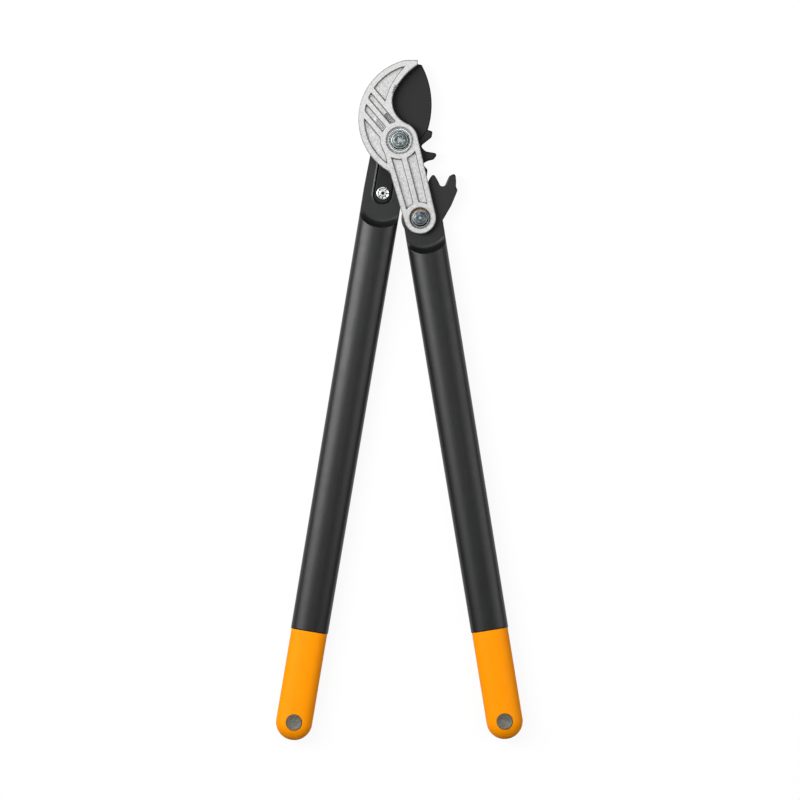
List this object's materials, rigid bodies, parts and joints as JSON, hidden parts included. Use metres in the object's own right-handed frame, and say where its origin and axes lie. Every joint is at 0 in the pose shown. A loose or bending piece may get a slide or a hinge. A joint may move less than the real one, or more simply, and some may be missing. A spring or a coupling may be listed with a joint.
{
  "type": "geared anvil lopper",
  "caption": "Long two-handed lopper: a coated blade geared to a toothed handle closes on a ribbed hook-shaped alloy anvil; oval dark handles end in orange grips.",
  "frame": {"origin": "on the main pivot's axis, in the plane that the tool rests on when it lies on its back", "axes": "+Z out of the front face, up; +Y towards the blade's tip; +X to the right as the picture shows it"},
  "size_m": [0.2468, 0.68, 0.028],
  "materials": {
    "casting": "matte die-cast",
    "coated_steel": "black low-friction coating",
    "zinc_steel": "bright zinc plate",
    "plain_steel": "plain",
    "bronze": "sintered bronze",
    "handle_polymer": "satin glass-filled",
    "grip_polymer": "satin",
    "pin_polymer": "matte"
  },
  "bodies": {
    "arm": {"anvil_arm": "casting", "pivot_bolt": "zinc_steel", "pivot_washer": "plain_steel", "front_thrust_washer": "plain_steel", "rear_thrust_washer": "plain_steel", "pivot_nut": "plain_steel", "link_bolt": "zinc_steel", "link_washer": "plain_steel", "link_bush": "bronze", "link_rear_washer": "plain_steel", "link_nut": "plain_steel"},
    "blade_side": {"blade": "coated_steel", "blade_bush": "bronze", "left_handle": "handle_polymer", "tang_screw": "zinc_steel", "tang_nut": "plain_steel", "left_grip": "grip_polymer", "left_grip_pin": "pin_polymer"},
    "right_side": {"right_handle": "handle_polymer", "right_link_bush": "plain_steel", "right_grip": "grip_polymer", "right_grip_pin": "pin_polymer"}
  },
  "joints": [
    {"name": "blade_turn", "type": "hinge", "parent": "arm", "child": "blade_side", "pos_m": [0, 0, 0], "axis": [0, 0, -1], "range_deg": [0, 50]},
    {"name": "right_handle_turn", "type": "hinge", "parent": "arm", "child": "right_side", "pos_m": [0.02062, -0.0775, 0], "axis": [0, 0, 1], "range_deg": [0, 45.3]}
  ],
  "couplings": [
    {"joint": "right_handle_turn", "follows": "blade_turn", "ratio": 0.905}
  ]
}
